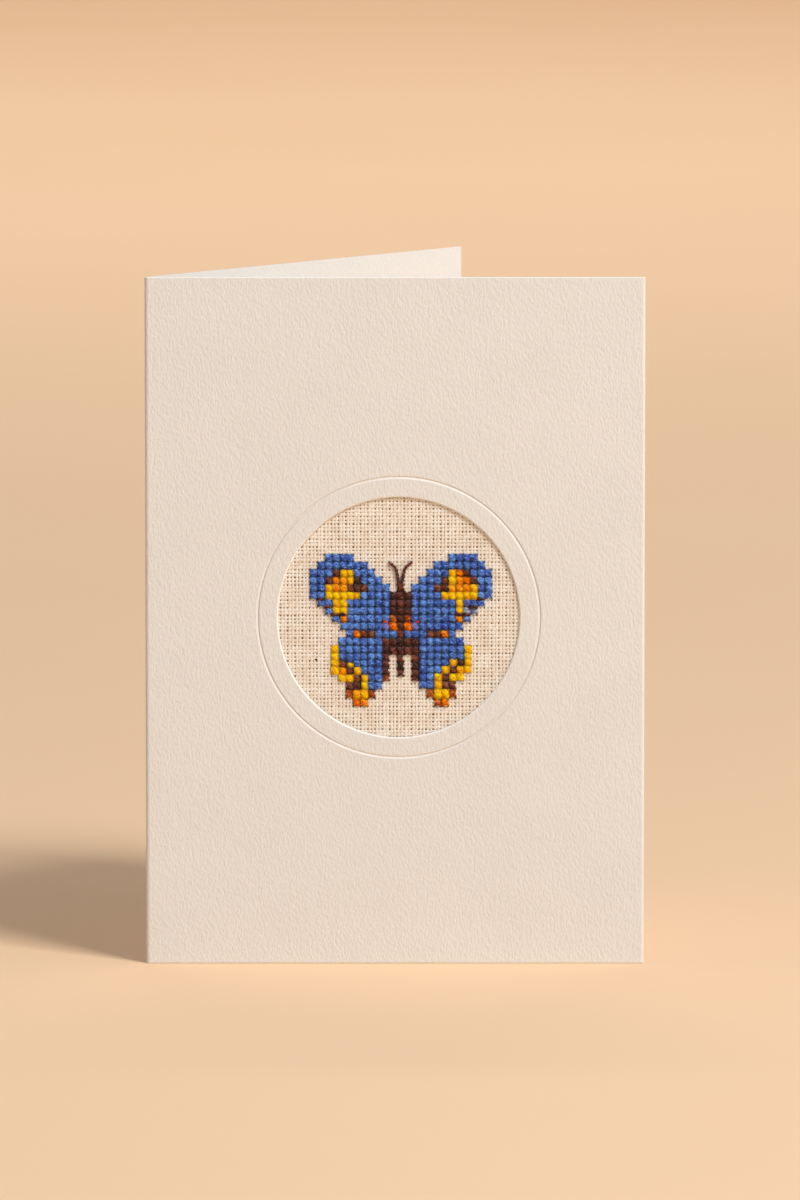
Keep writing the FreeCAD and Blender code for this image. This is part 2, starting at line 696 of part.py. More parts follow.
def make_antenna(side, sign):
    """A twisted thread, revolved about an axis that passes beside the head at its bend's radius."""
    body = new_body(side + "_antenna")
    middle = f"({LINEN_FRONT} - Dimensions.antenna_lift - Dimensions.antenna_diameter / 2)"
    axis_x = f"({MOTIF_X} + {sign} * (Dimensions.antenna_spread + Dimensions.antenna_bend))"
    top_row = HEAD[0][1]
    root_z = f"({MOTIF_Z} + {ROWS / 2 - top_row} * Dimensions.stitch_pitch_z + Dimensions.antenna_gap)"
    section = new_sketch(body, "XY_Plane", side.capitalize() + "AntennaSection", (axis_x, middle, root_z))
    strand = six_sided(section, -sign * size("antenna_bend"), D + "antenna_diameter")
    relation(section, "PointOnObject", strand, CENTRE, HORIZONTAL_AXIS)
    towards_axis = (strand, CENTRE, *SKETCH_ORIGIN) if sign > 0 else (*SKETCH_ORIGIN, strand, CENTRE)
    dimension(section, "bend", "DistanceX", towards_axis, D + "antenna_bend")
    turn = "asin(Dimensions.antenna_height / Dimensions.antenna_bend)"
    thread = feature(body, "Revolution", side.capitalize() + "AntennaThread", section, Angle=turn)
    thread.ReferenceAxis = (section, ["V_Axis"])
    thread.Reversed = sign < 0
    doc.recompute()
    return body


nodes = [make_card(), make_linen(), *make_tapes(), *make_butterfly()]
nodes += [make_antenna("left", -1), make_antenna("right", 1)]
doc.recompute()

for item in doc.Objects:
    failed = [state for state in item.State if state in ("Invalid", "Error")]
    if failed:
        raise RuntimeError(f"{item.Label} did not compute: {failed}")
for node in nodes:
    if node.Shape.isNull() or not node.Shape.isValid():
        raise RuntimeError(f"{node.Label} has no valid shape")

os.makedirs("parts", exist_ok=True)
for node in nodes:
    node.Shape.exportStep(os.path.join("parts", node.Label + ".step"))
    print(node.Label, len(node.Shape.Solids), round(node.Shape.Volume, 3))
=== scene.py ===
import json
import math

import bmesh
import bpy
import numpy as np
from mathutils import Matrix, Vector


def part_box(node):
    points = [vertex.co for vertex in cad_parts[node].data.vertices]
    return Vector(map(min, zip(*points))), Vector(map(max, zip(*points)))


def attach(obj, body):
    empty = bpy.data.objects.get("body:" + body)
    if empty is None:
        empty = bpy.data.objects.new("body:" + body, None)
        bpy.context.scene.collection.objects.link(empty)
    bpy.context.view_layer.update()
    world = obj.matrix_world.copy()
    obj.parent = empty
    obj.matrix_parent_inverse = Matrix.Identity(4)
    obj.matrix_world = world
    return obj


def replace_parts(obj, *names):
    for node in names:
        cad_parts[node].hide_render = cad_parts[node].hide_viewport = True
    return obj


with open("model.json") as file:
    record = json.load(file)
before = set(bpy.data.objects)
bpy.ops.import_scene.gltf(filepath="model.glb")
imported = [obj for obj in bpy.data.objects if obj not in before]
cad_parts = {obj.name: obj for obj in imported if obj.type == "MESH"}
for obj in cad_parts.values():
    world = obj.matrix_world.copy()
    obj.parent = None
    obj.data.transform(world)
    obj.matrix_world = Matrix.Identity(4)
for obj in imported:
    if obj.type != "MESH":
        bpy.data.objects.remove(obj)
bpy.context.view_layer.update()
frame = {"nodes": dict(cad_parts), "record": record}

# Metres. A white greeting card stands open; its round window frames a cross-stitched butterfly.

MM = 0.001
scene = bpy.context.scene
nodes = frame["nodes"]

linen_low, linen_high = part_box("linen_panel")
LINEN_FRONT = linen_low.y
WINDOW_X = (linen_low.x + linen_high.x) / 2
WINDOW_Z = (linen_low.z + linen_high.z) / 2
WINDOW_RADIUS = 29.05 * MM
WINDOW_BEVEL = 0.3 * MM
RING_RADIUS = 33.9 * MM
RING_HALF_WIDTH = 0.4 * MM
RING_PRESS = 0.11 * MM
# Share of white painted along the pressed ring as a highlight
RING_HIGHLIGHT = 0.3
EDGE_BLUR = 0.05 * MM

PITCH_X = 1.75 * MM
PITCH_Z = 1.84 * MM
THREAD_PITCH_X = PITCH_X / 2
THREAD_PITCH_Z = PITCH_Z / 2
MOTIF_X = WINDOW_X + 0.4 * MM
MOTIF_Z = WINDOW_Z - 3.3 * MM
MIDDLE_ROW = 9.5

KNOT_X = MOTIF_X - 20.3 * MM
KNOT_Z = MOTIF_Z - 7.0 * MM
KNOT_SIZE = (0.46 * MM, 0.28 * MM)
THREAD_SHADE_DEPTH = (0.15 * MM, 0.28 * MM)
STITCH_CROWN = 0.42 * MM


def linear(red, green, blue):
    """A colour given in display values from 0 to 255, as the shader wants it."""

    def one(value):
        value /= 255
        return value / 12.92 if value <= 0.04045 else ((value + 0.055) / 1.055) ** 2.4

    return (one(red), one(green), one(blue), 1.0)


# Materials


class Nodes:
    """A short way to write a material's node tree."""

    def __init__(self, name):
        self.material = bpy.data.materials.new(name)
        self.material.use_nodes = True
        self.tree = self.material.node_tree
        self.shader = self.tree.nodes["Principled BSDF"]
        self.place = self.add("ShaderNodeTexCoord").outputs["Object"]

    def add(self, kind, **settings):
        node = self.tree.nodes.new(kind)
        for name, value in settings.items():
            setattr(node, name, value)
        return node

    def feed(self, socket, value):
        if isinstance(value, bpy.types.NodeSocket):
            self.tree.links.new(value, socket)
        else:
            socket.default_value = value

    def math(self, operation, first, second=0.0, clamp=False):
        node = self.add("ShaderNodeMath", operation=operation, use_clamp=clamp)
        self.feed(node.inputs[0], first)
        self.feed(node.inputs[1], second)
        return node.outputs[0]

    def axis(self, name, source=None):
        split = self.add("ShaderNodeSeparateXYZ")
        self.feed(split.inputs[0], self.place if source is None else source)
        return split.outputs[name]

    def mapped(self, scale=(1, 1, 1), turn=(0, 0, 0)):
        node = self.add("ShaderNodeMapping")
        self.feed(node.inputs["Vector"], self.place)
        node.inputs["Scale"].default_value = scale
        node.inputs["Rotation"].default_value = turn
        return node.outputs[0]

    def noise(self, scale, detail=2.0, roughness=0.5, vector=None):
        node = self.add("ShaderNodeTexNoise")
        self.feed(node.inputs["Vector"], self.place if vector is None else vector)
        node.inputs["Scale"].default_value = scale
        node.inputs["Detail"].default_value = detail
        node.inputs["Roughness"].default_value = roughness
        return node.outputs["Fac"]

    def span(self, value, low, high, to_low=0.0, to_high=1.0):
        """Maps one range smoothly onto another and holds the ends."""
        node = self.add("ShaderNodeMapRange", interpolation_type="SMOOTHSTEP")
        self.feed(node.inputs["Value"], value)
        for name, number in (("From Min", low), ("From Max", high), ("To Min", to_low), ("To Max", to_high)):
            self.feed(node.inputs[name], number)
        return node.outputs["Result"]

    def blend(self, factor, first, second, mode="MIX"):
        node = self.add("ShaderNodeMix", data_type="RGBA", blend_type=mode)
        self.feed(node.inputs["Factor"], factor)
        self.feed(node.inputs["A"], first)
        self.feed(node.inputs["B"], second)
        return node.outputs["Result"]

    def bump(self, height, distance, strength=1.0, after=None):
        node = self.add("ShaderNodeBump")
        node.inputs["Strength"].default_value = strength
        node.inputs["Distance"].default_value = distance
        self.feed(node.inputs["Height"], height)
        if after is not None:
            self.feed(node.inputs["Normal"], after)
        return node.outputs["Normal"]

    def finish(self, colour, normal=None, **constants):
        self.feed(self.shader.inputs["Base Color"], colour)
        if normal is not None:
            self.feed(self.shader.inputs["Normal"], normal)
        for name, value in constants.items():
            self.shader.inputs[name.replace("_", " ")].default_value = value
        return self.material


def paper_material():
    """Felt-marked card: short leaning ridges, a fine grain, soft mottling, whiter cut edges that are partly
    painted highlight, and a painted highlight along the pressed ring.
    """
    m = Nodes("felt_marked_card")
    lean = math.radians(40)
    felt = m.noise(1900.0, 2.0, 0.5, m.mapped((1.0, 1.0, 0.5), (0, -lean, 0)))
    grain = m.noise(3600.0, 3.0, 0.6)
    cloud = m.noise(60.0, 3.0, 0.6)
    body = m.blend(m.span(cloud, 0.3, 0.7), linear(233, 231, 227), linear(235, 233, 229))
    across = m.math("SUBTRACT", m.axis("X"), WINDOW_X)
    up = m.math("SUBTRACT", m.axis("Z"), WINDOW_Z)
    radius = m.math("SQRT", m.math("ADD", m.math("MULTIPLY", across, across), m.math("MULTIPLY", up, up)))
    rim_edge = WINDOW_RADIUS + WINDOW_BEVEL
    rim = m.span(radius, rim_edge + EDGE_BLUR, rim_edge - EDGE_BLUR)
    rim = m.math("MULTIPLY", rim, m.math("LESS_THAN", m.axis("Y"), LINEN_FRONT))
    normal = m.add("ShaderNodeNewGeometry").outputs["Normal"]
    steep = m.math("ABSOLUTE", m.axis("Z", normal))
    cut = m.span(steep, 0.3, 0.6)
    from_ring = m.math("ABSOLUTE", m.math("SUBTRACT", radius, RING_RADIUS))
    front_face = m.math("LESS_THAN", m.axis("Y"), LINEN_FRONT)
    groove = m.math("MULTIPLY", m.span(from_ring, RING_HALF_WIDTH, 0.1 * RING_HALF_WIDTH), front_face)
    # Whiter cut paper on the window's bevel and the cut edges, partly painted highlight there, and a painted
    # highlight along the pressed ring.
    white_and_highlight = m.math("MAXIMUM", m.math("MAXIMUM", rim, cut), m.math("MULTIPLY", groove, RING_HIGHLIGHT))
    colour = m.blend(white_and_highlight, body, linear(250, 248, 244))
    rough = m.bump(felt, 0.16 * MM, 1.0)
    rough = m.bump(grain, 0.05 * MM, 1.0, rough)
    rough = m.bump(m.math("SUBTRACT", 1.0, groove), RING_PRESS, 1.0, rough)
    return m.finish(colour, rough, Roughness=0.8, Specular_IOR_Level=0.35)


def hole_shade_mask(m):
    """A mask for painted shade: 1 at the holes between the threads, strongest where the needle's holes are,
    0 away from them.
    """
    across = m.math("DIVIDE", m.math("SUBTRACT", m.axis("X"), MOTIF_X), THREAD_PITCH_X)
    up = m.math("DIVIDE", m.math("SUBTRACT", m.axis("Z"), MOTIF_Z), THREAD_PITCH_Z)
    offsets = [m.math("POWER", m.math("PINGPONG", place, 0.5), 2.0) for place in (across, up)]
    distance = m.math("SQRT", m.math("ADD", *offsets))
    wide_column = m.math("PINGPONG", across, 1.0)
    wide_row = m.math("SUBTRACT", 1.0, m.math("PINGPONG", up, 1.0))
    strength = m.span(m.math("MULTIPLY", wide_column, wide_row), 0.0, 1.0, 0.4, 0.9)
    uneven = m.span(m.noise(620.0, 1.0, 0.5), 0.4, 0.6)
    hole = m.span(distance, 0.33, 0.14)
    return m.math("MULTIPLY", hole, m.math("MULTIPLY", strength, uneven))


def cloth_thread_material(name, stretch):
    """Unbleached linen yarn with slubs and fibres along the thread: pale at the crowns, with painted shade
    that turns it browner deeper down and at the holes.
    """
    m = Nodes(name)
    slub = m.noise(260.0, 3.0, 0.6)
    fleck = m.noise(1500.0, 2.0, 0.6)
    fibre = m.noise(9000.0, 2.0, 0.6, m.mapped(stretch))
    depth = m.math("SUBTRACT", m.axis("Y"), LINEN_FRONT)
    shade = m.span(depth, *THREAD_SHADE_DEPTH)
    colour = m.blend(m.span(slub, 0.3, 0.7), linear(240, 227, 211), linear(251, 245, 236))
    colour = m.blend(m.span(fleck, 0.58, 0.85), colour, linear(222, 196, 166))
    colour = m.blend(m.span(fibre, 0.45, 0.8), colour, linear(224, 204, 180))
    # Painted shade: browner where the yarn lies deeper, under the crossings.
    colour = m.blend(shade, colour, linear(214, 166, 108))
    # Painted shade: browner round the holes between the threads.
    colour = m.blend(hole_shade_mask(m), colour, linear(172, 122, 58))
    across = m.math("ABSOLUTE", m.math("SUBTRACT", m.axis("X"), KNOT_X))
    up = m.math("ABSOLUTE", m.math("SUBTRACT", m.axis("Z"), KNOT_Z))
    knot = m.span(m.math("ADD", across, up), *KNOT_SIZE)
    colour = m.blend(knot, colour, linear(50, 34, 24))
    rough = m.bump(fibre, 0.03 * MM, 0.8)
    return m.finish(colour, rough, Roughness=0.85, Sheen_Weight=0.1, Sheen_Roughness=0.5)


def cloth_base_shade_material():
    """The cloth behind the crowns, seen as small dark gaps: its dark brown is painted shade."""
    m = Nodes("linen_gaps")
    patch = m.noise(900.0, 2.0, 0.6)
    colour = m.blend(patch, linear(138, 82, 20), linear(202, 142, 60))
    return m.finish(colour, m.bump(patch, 0.04 * MM, 0.5), Roughness=0.9)


def painted_shade_or_highlight(colour, share):
    """A colour made darker for painted shade, or lighter for a painted highlight where the share is over 1.
    """
    return tuple(min(1.0, share * channel) for channel in colour[:3]) + (1.0,)


def floss_material(name, dark, light, gloss, depth):
    """Stranded cotton: fibres along each leg, with painted highlight spots, painted shade between the fibres
    and painted shade that darkens the thread low down in the needle holes and on the beds.
    """
    m = Nodes(name)
    slope = math.atan2(PITCH_Z, PITCH_X)
    tone = m.add("ShaderNodeAttribute", attribute_name="tone").outputs["Fac"]
    layer = m.add("ShaderNodeAttribute", attribute_name="layer").outputs["Fac"]
    falling = m.noise(2300.0, 3.0, 0.6, m.mapped((0.4, 1, 1), (0, slope, 0)))
    rising = m.noise(2300.0, 3.0, 0.6, m.mapped((0.4, 1, 1), (0, -slope, 0)))
    fibre = m.add("ShaderNodeMix", data_type="FLOAT")
    for socket, value in (("Factor", layer), ("A", rising), ("B", falling)):
        m.feed(fibre.inputs[socket], value)
    fibre = fibre.outputs["Result"]
    # Painted shade: the lower a strand lies, the darker it is, and the beds darker still.
    lift = m.math("SUBTRACT", LINEN_FRONT, m.axis("Y"))
    crown = m.span(lift, 0.0, STITCH_CROWN)
    crown = m.math("MULTIPLY", crown, m.span(layer, -0.9, -0.1, 0.6, 1.0))
    colour = m.blend(tone, dark, light)
    # Painted shade between the fibres and painted highlight spots on them.
    colour = m.blend(m.span(fibre, 0.5, 0.36), colour, painted_shade_or_highlight(dark, 0.3 + depth))
    colour = m.blend(m.span(fibre, 0.52, 0.68), colour, painted_shade_or_highlight(light, 1.6))
    colour = m.blend(crown, painted_shade_or_highlight(dark, depth), colour)
    rough = m.bump(fibre, 0.10 * MM, 1.0)
    return m.finish(colour, rough, Roughness=0.38, Specular_IOR_Level=gloss)


def tape_material():
    m = Nodes("double_sided_tape")
    haze = m.noise(150.0, 3.0, 0.5)
    colour = m.blend(haze, linear(226, 222, 212), linear(240, 238, 231))
    return m.finish(colour, m.bump(haze, 0.01 * MM, 0.4), Roughness=0.35)


def floor_material():
    m = Nodes("pale_floor")
    cloud = m.noise(3.0, 2.0, 0.5)
    grain = m.noise(900.0, 3.0, 0.5)
    colour = m.blend(cloud, linear(250, 212, 172), linear(253, 218, 180))
    return m.finish(colour, m.bump(grain, 0.02 * MM, 0.2), Roughness=0.7)


# Each thread's darker and lighter tone, how much it shines and how light the painted shade in its hollows
# stays
FLOSS = {
    "blue": (linear(46, 84, 194), linear(102, 156, 244), 0.45, 0.03),
    "dusky_blue": (linear(70, 84, 130), linear(160, 176, 204), 0.35, 0.06),
    "mauve": (linear(70, 90, 180), linear(132, 136, 216), 0.35, 0.06),
    "yellow": (linear(255, 184, 0), linear(255, 222, 0), 0.15, 0.48),
    "amber": (linear(255, 140, 0), linear(255, 184, 0), 0.15, 0.36),
    "orange": (linear(244, 104, 0), linear(255, 166, 16), 0.10, 0.14),
    "brown": (linear(62, 24, 15), linear(156, 88, 62), 0.35, 0.02),
    "dark_brown": (linear(50, 18, 11), linear(132, 66, 48), 0.35, 0.02),
    "rust": (linear(150, 68, 20), linear(206, 108, 40), 0.15, 0.10),
    "red": (linear(206, 40, 26), linear(236, 74, 46), 0.20, 0.10),
}
floss = {name: floss_material(name + "_floss", *traits) for name, traits in FLOSS.items()}
slot_names = {entry["node"]: entry["material_slot"] for entry in frame["record"]["subparts"]}


def colour_of(node):
    return slot_names[node].removesuffix("_thread")


# Mesh building


def new_piece(name, points, faces, material):
    mesh = bpy.data.meshes.new(name)
    mesh.from_pydata(points, [], faces)
    mesh.polygons.foreach_set("use_smooth", [True] * len(mesh.polygons))
    mesh.materials.append(material)
    mesh.update()
    piece = bpy.data.objects.new(name, mesh)
    scene.collection.objects.link(piece)
    return piece


def unit(vectors):
    return vectors / np.linalg.norm(vectors, axis=-1, keepdims=True)


def tube_rings(path, side, half_width, half_thickness, sides):
    """Rings of points round a path: half_width along side, half_thickness square to it."""
    tangent = unit(np.gradient(path, axis=0))
    across = unit(side - (side * tangent).sum(-1, keepdims=True) * tangent)
    out = np.cross(tangent, across)
    turn = np.arange(sides) * 2 * math.pi / sides
    width = np.broadcast_to(half_width, len(path))[:, None, None]
    thickness = np.broadcast_to(half_thickness, len(path))[:, None, None]
    across, out = across[:, None, :], out[:, None, :]
    wave = np.cos(turn)[None, :, None], np.sin(turn)[None, :, None]
    return path[:, None, :] + across * wave[0] * width + out * wave[1] * thickness


def tubes(name, all_rings, material, **values):
    """One piece of many closed tubes, each a stack of rings, with named values for each tube."""
    points, faces, start = [], [], 0
    for rings in all_rings:
        count, sides, _ = rings.shape
        points.append(rings.reshape(-1, 3))
        low = start + (np.arange(count - 1)[:, None] * sides + np.arange(sides)[None, :])
        nxt = start + (np.arange(count - 1)[:, None] * sides + (np.arange(sides)[None, :] + 1) % sides)
        quads = np.stack([low, nxt, nxt + sides, low + sides], axis=-1).reshape(-1, 4)
        faces += quads.tolist()
        last = start + (count - 1) * sides
        faces.append(list(range(start + sides - 1, start - 1, -1)))
        faces.append(list(range(last, last + sides)))
        start += count * sides
    piece = new_piece(name, np.concatenate(points).tolist(), faces, material)
    lengths = [len(part) for part in points]
    for label, numbers in values.items():
        spread = np.repeat(np.asarray(numbers, dtype=np.float32), lengths)
        piece.data.attributes.new(label, "FLOAT", "POINT").data.foreach_set("value", spread)
    return piece


# Linen: single warp and weft threads woven over and under each other behind the window

WEAVE_RADIUS = WINDOW_RADIUS + 0.9 * MM
WEAVE_MIDDLE = LINEN_FRONT + 0.15 * MM
YARN_HALF_WIDTH = 0.365 * MM
PAIRING = 0.05 * MM
YARN_HALF_THICKNESS = 0.085 * MM
YARN_SWING = 0.035 * MM
YARN_WANDER = 0.045 * MM
YARN_SLUB = 0.22
YARN_VARIETY = 0.05
YARN_SQUEEZE = 0.07
SEGMENTS_PER_CROSSING = 4
YARN_SIDES = 6


def slow_noise(rng, count, step):
    """A smooth random line from -1 to 1 with a new value every few points."""
    knots = rng.uniform(-1, 1, count // step + 3)
    return np.interp(np.arange(count) / step, np.arange(len(knots)), knots)


def yarn(rng, index, vertical):
    """One thread of the cloth, cut to the disc behind the window."""
    own_pitch, cross_pitch = (
        (THREAD_PITCH_X, THREAD_PITCH_Z) if vertical else (THREAD_PITCH_Z, THREAD_PITCH_X)
    )
    own_middle, cross_middle = (MOTIF_X, MOTIF_Z) if vertical else (MOTIF_Z, MOTIF_X)
    disc_own, disc_cross = (WINDOW_X, WINDOW_Z) if vertical else (WINDOW_Z, WINDOW_X)
    paired = PAIRING if (index % 2 == 1) == vertical else -PAIRING
    place = own_middle + (index + 0.5) * own_pitch + paired
    reach = WEAVE_RADIUS**2 - (place - disc_own) ** 2
    if reach <= (2 * cross_pitch) ** 2:
        return None
    half = math.sqrt(reach)
    step = cross_pitch / SEGMENTS_PER_CROSSING
    first = math.floor((disc_cross - half - cross_middle) / step)
    last = math.ceil((disc_cross + half - cross_middle) / step)
    run = np.arange(first, last + 1)
    along = cross_middle + run * step
    phase = math.pi * (run / SEGMENTS_PER_CROSSING + index)
    swing = YARN_SWING * np.sin(phase) * (1 if vertical else -1)
    wander = YARN_WANDER * slow_noise(rng, len(run), 4 * SEGMENTS_PER_CROSSING)
    slub = 1 + YARN_SLUB * slow_noise(rng, len(run), 2 * SEGMENTS_PER_CROSSING)
    slub += YARN_VARIETY * rng.uniform(-1, 1)
    squeeze = 1 + YARN_SQUEEZE * (np.abs(np.sin(phase)) - np.abs(np.cos(phase)))
    own = place + wander
    depth = WEAVE_MIDDLE + swing
    path = np.stack([own, depth, along] if vertical else [along, depth, own], axis=-1)
    side = np.array([1.0, 0, 0] if vertical else [0, 0, 1.0])
    return tube_rings(path, side, YARN_HALF_WIDTH * slub * squeeze, YARN_HALF_THICKNESS, YARN_SIDES)


def weave(name, vertical, seed, material):
    rng = np.random.default_rng(seed)
    count = math.ceil(WEAVE_RADIUS / (THREAD_PITCH_X if vertical else THREAD_PITCH_Z)) + 6
    rings = [yarn(rng, index, vertical) for index in range(-count, count)]
    return tubes(name, [ring for ring in rings if ring is not None], material)


BASE_DEPTH = 0.34 * MM
BASE_BACK_GAP = 0.01 * MM
BASE_FRAY = 0.25 * MM


def linen_base(material):
    """The cut cloth behind the crowns: a thin sheet with slightly uneven edges."""
    rng = np.random.default_rng(7)
    columns, rows = 42, 43
    xs = np.linspace(linen_low.x, linen_high.x, columns + 1)
    zs = np.linspace(linen_low.z, linen_high.z, rows + 1)
    front, back = LINEN_FRONT + BASE_DEPTH, linen_high.y - BASE_BACK_GAP
    grid = np.array([(x, z) for z in zs for x in xs]).reshape(rows + 1, columns + 1, 2)
    grid[0, :, 1] += rng.uniform(0, BASE_FRAY, columns + 1)
    grid[-1, :, 1] -= rng.uniform(0, BASE_FRAY, columns + 1)
    grid[:, 0, 0] += rng.uniform(0, BASE_FRAY, rows + 1)
    grid[:, -1, 0] -= rng.uniform(0, BASE_FRAY, rows + 1)
    flat = grid.reshape(-1, 2)
    points = [(x, front, z) for x, z in flat] + [(x, back, z) for x, z in flat]
    layer = len(flat)
    faces = []
    for row in range(rows):
        for column in range(columns):
            a = row * (columns + 1) + column
            quad = (a, a + 1, a + columns + 2, a + columns + 1)
            faces.append(quad)
            faces.append(tuple(layer + corner for corner in reversed(quad)))
    bottom = list(range(columns + 1))
    right = [row * (columns + 1) + columns for row in range(rows + 1)]
    top = [rows * (columns + 1) + column for column in range(columns, -1, -1)]
    left = [row * (columns + 1) for row in range(rows, -1, -1)]
    border = bottom + right[1:] + top[1:] + left[1:-1]
    for a, b in zip(border, border[1:] + border[:1], strict=True):
        faces.append((b, a, layer + a, layer + b))
    return new_piece("linen", points, faces, material)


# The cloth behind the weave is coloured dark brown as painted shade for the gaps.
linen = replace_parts(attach(linen_base(cloth_base_shade_material()), "root"), "linen_panel")
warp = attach(weave("linen_warp", True, 11, cloth_thread_material("linen_warp_yarn", (1, 1, 0.12))), "root")
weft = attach(weave("linen_weft", False, 12, cloth_thread_material("linen_weft_yarn", (0.12, 1, 1))), "root")


# Cross stitches: each leg is a few strands of cotton that dive into a needle hole at both ends

LAYER = 0.33 * MM
STRANDS = 4
STRAND_SIDES = 7
STRAND_RINGS = 11
STITCH_SPREAD = 0.36 * MM
THIN_THREADS = {"brown": 0.84, "dark_brown": 0.84, "rust": 0.82, "orange": 0.95}
INNER_SINK = 0.38 * MM
OUTER_SINK = 0.10 * MM
STRAND_RADIUS = 0.185 * MM
LOWER_CROWN = 0.24 * MM
SWELL_REACH = 0.28
STRAND_RISE = 0.09 * MM
STRAY_ACROSS = 0.05 * MM
STRAY_ALONG = 0.04 * MM
BED_HALF_WIDTH = 0.26 * MM
BED_HALF_THICKNESS = 0.16 * MM
BED_SINK = 0.05 * MM
BED_BOW = 0.16 * MM
FULL_LEG = 0.95 * MM
WELD = 1e-6

# The work is by hand, so rows and columns wander. A row's number gives the lift in millimetres
# of the line of needle holes below it.
BODY_LIFT = {
    -1: 0.20, 0: 0.22, 1: 0.25, 2: 0.30, 3: 0.33, 4: 0.33, 5: 0.33, 6: 0.33, 7: 0.33, 8: 0.28,
    9: 0.25, 10: 0.22, 11: 0.10, 12: -0.10, 13: -0.10, 14: -0.10, 15: -0.10, 16: -0.05,
}
LEFT_WING_LIFT = BODY_LIFT | {
    11: 0.20, 12: 0.20, 13: 0.34, 14: 0.62, 15: 0.58, 16: 0.62, 17: 0.56, 18: 0.15, 19: 0.12,
}
RIGHT_WING_LIFT = BODY_LIFT | {
    11: 0.20, 12: 0.20, 13: 0.55, 14: 0.85, 15: 0.85, 16: 0.85, 17: 0.75, 18: 0.20, 19: 0.12,
}
LEFT_FOREWING_SHIFT = {-12: 0.10, -11: 0.17, -10: 0.26, -9: 0.31, -8: 0.41, -7: 0.17}
RIGHT_HINDWING_SHIFT = {5: 0.24, 6: 0.29, 7: 0.31, 8: 0.41, 9: 0.48}
RIGHT_SHIFT = 0.15
LAST_FOREWING_ROW = 10
# Cells with a stitch of another shape: share of the width and height, shift right and up in millimetres
SHAPED = {
    (-7, 2): (0.66, 1.0, 0.0, 0.0),
    (-7, 3): (0.66, 1.0, 0.0, 0.0),
    (-6, 5): (0.7, 0.8, -0.15, 0.05),
    (-7, 13): (1.0, 1.35, 0.1, -0.3),
    (-7, 14): (0.8, 0.62, 0.15, -0.45),
    (-6, 15): (1.0, 1.0, 0.22, 0.0),
    (-5, 16): (0.85, 1.0, 0.15, 0.0),
    (-5, 17): (0.85, 1.0, 0.15, 0.0),
    (-8, 15): (1.0, 1.05, 0.1, -0.3),
    (-9, 15): (1.05, 1.12, 0.0, -0.12),
    (-1, 9): (1.05, 1.30, 0.08, -0.12),
    (1, 9): (1.05, 1.30, 0.12, -0.12),
    (-1, 12): (1.0, 1.2, 0.0, -0.15),
    (1, 12): (1.0, 1.2, 0.0, -0.15),
    (2, 16): (1.0, 0.55, 0.0, 0.4),
}
# Cells worked with another thread than the rest of their part, and its tone
OTHER_THREAD = {
    (9, 7): ("dusky_blue", 1.0),
    (10, 7): ("dusky_blue", 0.1),
    (9, 6): ("mauve", 0.1),
    (2, 9): ("mauve", 0.75),
    (-2, 9): ("mauve", 0.3),
    (5, 19): ("rust", 0.6),
    (-6, 18): ("amber", 0.9),
}


def solids_of(node):
    """The corners of each separate solid of a node, one array for each."""
    mesh = bmesh.new()
    mesh.from_mesh(nodes[node].data)
    bmesh.ops.remove_doubles(mesh, verts=mesh.verts, dist=WELD)
    left = set(mesh.verts)
    found = []
    while left:
        front = [left.pop()]
        solid = []
        while front:
            vertex = front.pop()
            solid.append(vertex.co[:])
            for edge in vertex.link_edges:
                other = edge.other_vert(vertex)
                if other in left:
                    left.remove(other)
                    front.append(other)
        found.append(np.array(solid))
    mesh.free()
    return sorted(found, key=lambda corners: tuple(np.round(corners.mean(0), 5)))


def swell(s, reach):
    """Rises smoothly from 0 at either end of a leg to 1 at a share of its length."""
    rise = np.clip(np.minimum(s, 1 - s) / reach, 0, 1)
    return rise * rise * (3 - 2 * rise)


def cell_of(corners):
    """The chart's cell that a leg belongs to."""
    centre = corners.mean(0)
    column = round((centre[0] - MOTIF_X) / PITCH_X)
    row = round(MIDDLE_ROW - (centre[2] - MOTIF_Z) / PITCH_Z)
    return column, row


def cell_frame(column, row):
    """The middle, width and height of a cell as it was worked."""
    lifts, shift = BODY_LIFT, 0.0
    if column <= -2:
        lifts = LEFT_WING_LIFT
        if row <= LAST_FOREWING_ROW:
            shift = LEFT_FOREWING_SHIFT.get(column, 0.0)
    elif column >= 3:
        lifts = RIGHT_WING_LIFT
        shift = RIGHT_SHIFT if row <= LAST_FOREWING_ROW else RIGHT_HINDWING_SHIFT.get(column, RIGHT_SHIFT)
    wide, tall, right, up = SHAPED.get((column, row), (1.0, 1.0, 0.0, 0.0))
    top = (MIDDLE_ROW - row + 0.5) * PITCH_Z + lifts.get(row - 1, 0.0) * MM
    bottom = (MIDDLE_ROW - row - 0.5) * PITCH_Z + lifts.get(row, 0.0) * MM
    x = MOTIF_X + column * PITCH_X + (shift + right) * MM
    z = MOTIF_Z + (top + bottom) / 2 + up * MM
    return x, z, PITCH_X * wide, (top - bottom) * tall


def sinks(cell, upper, cells):
    """How deep a leg's two ends dive: deep in a hole shared by four stitches, else hardly at all."""
    column, row = cell
    found = []
    for side in (-1, 1):
        down = side if upper else -side
        shared = {(column + side, row), (column, row + down), (column + side, row + down)} <= cells
        found.append(INNER_SINK if shared else OUTER_SINK)
    return found


